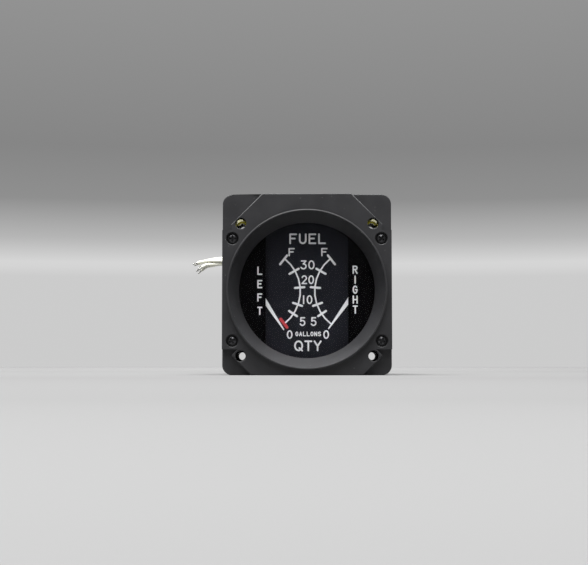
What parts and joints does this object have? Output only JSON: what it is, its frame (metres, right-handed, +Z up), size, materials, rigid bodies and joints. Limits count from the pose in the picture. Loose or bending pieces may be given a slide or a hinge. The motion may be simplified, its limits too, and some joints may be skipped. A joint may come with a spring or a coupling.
{
  "type": "fuel quantity indicator",
  "caption": "Square panel instrument with a round rim and two needles that show the fuel in the left and right tanks, with a round case and white leads behind.",
  "frame": {"origin": "centre of the four mounting holes, on the front face of the bezel plate that lies against the back of the panel", "axes": "-Y out through the panel towards the pilot, +Y back into the panel, +X right, +Z up"},
  "size_m": [0.0795, 0.0971, 0.0647],
  "materials": {
    "aluminium_plain": "machined",
    "black_moulding": "satin moulded black",
    "board_green": "solder mask",
    "bobbin_resin": "natural moulding resin",
    "brass_turned": "turned",
    "capacitor_sleeve": "sleeve",
    "case_black": "satin black paint",
    "chip_black": "moulded package",
    "copper_wire": "enamelled copper",
    "black_steel": "black oxide",
    "dial_black": "matt black with pale markings",
    "frame_moulding": "matt moulded black",
    "window_glass": "clear",
    "magnet_grey": "sintered",
    "mask_black": "flat black",
    "needle_white": "matt white",
    "yellow_zinc": "yellow chromate plate",
    "seal_rubber": "matt",
    "shaft_steel": "polished",
    "steel_bright": "bright zinc",
    "trimmer_blue": "moulded",
    "lead_white": "white fluoropolymer insulation"
  },
  "bodies": {
    "housing": {"bezel": "black_moulding", "bezel_screws": "black_steel", "board_pillars": "aluminium_plain", "board_screws": "steel_bright", "bottom_nuts": "black_steel", "capacitors": "capacitor_sleeve", "case": "case_black", "case_gasket": "seal_rubber", "circuit_board": "board_green", "cover_screws": "black_steel", "dial_plate": "dial_black", "dial_screws": "black_steel", "dial_spacer_ring": "mask_black", "driver_chips": "chip_black", "glass": "window_glass", "glass_gasket": "seal_rubber", "grommet": "seal_rubber", "inner_leads": "lead_white", "lead_bundle": "lead_white", "lead_ends": "lead_white", "left_bobbin_front": "bobbin_resin", "left_bobbin_rear": "bobbin_resin", "left_bushes": "brass_turned", "left_inner_coil": "copper_wire", "left_outer_coil": "copper_wire", "left_return_magnet": "magnet_grey", "left_shield_can": "steel_bright", "mask_left": "mask_black", "mask_right": "mask_black", "mounting_frame": "frame_moulding", "movement_plate": "aluminium_plain", "rear_cover": "case_black", "rear_gasket": "seal_rubber", "right_bobbin_front": "bobbin_resin", "right_bobbin_rear": "bobbin_resin", "right_bushes": "brass_turned", "right_inner_coil": "copper_wire", "right_outer_coil": "copper_wire", "right_return_magnet": "magnet_grey", "right_shield_can": "steel_bright", "stop_pins": "steel_bright", "top_nuts": "yellow_zinc", "trimmers": "trimmer_blue"},
    "left_needle": {"pointer_left": "needle_white", "left_shaft": "shaft_steel", "left_rotor_magnet": "magnet_grey"},
    "right_needle": {"pointer_right": "needle_white", "right_shaft": "shaft_steel", "right_rotor_magnet": "magnet_grey"}
  },
  "joints": [
    {"name": "left_pointer_turn", "type": "hinge", "parent": "housing", "child": "left_needle", "pos_m": [-0.0176, 0.009, 0], "axis": [0, -1, 0], "range_deg": [0, 112.7], "stiffness_Nm_per_rad": 0.000002, "springref_deg": -11.46},
    {"name": "right_pointer_turn", "type": "hinge", "parent": "housing", "child": "right_needle", "pos_m": [0.0176, 0.009, 0], "axis": [0, 1, 0], "range_deg": [-2.3, 110.4], "stiffness_Nm_per_rad": 0.000002, "springref_deg": -13.75}
  ]
}
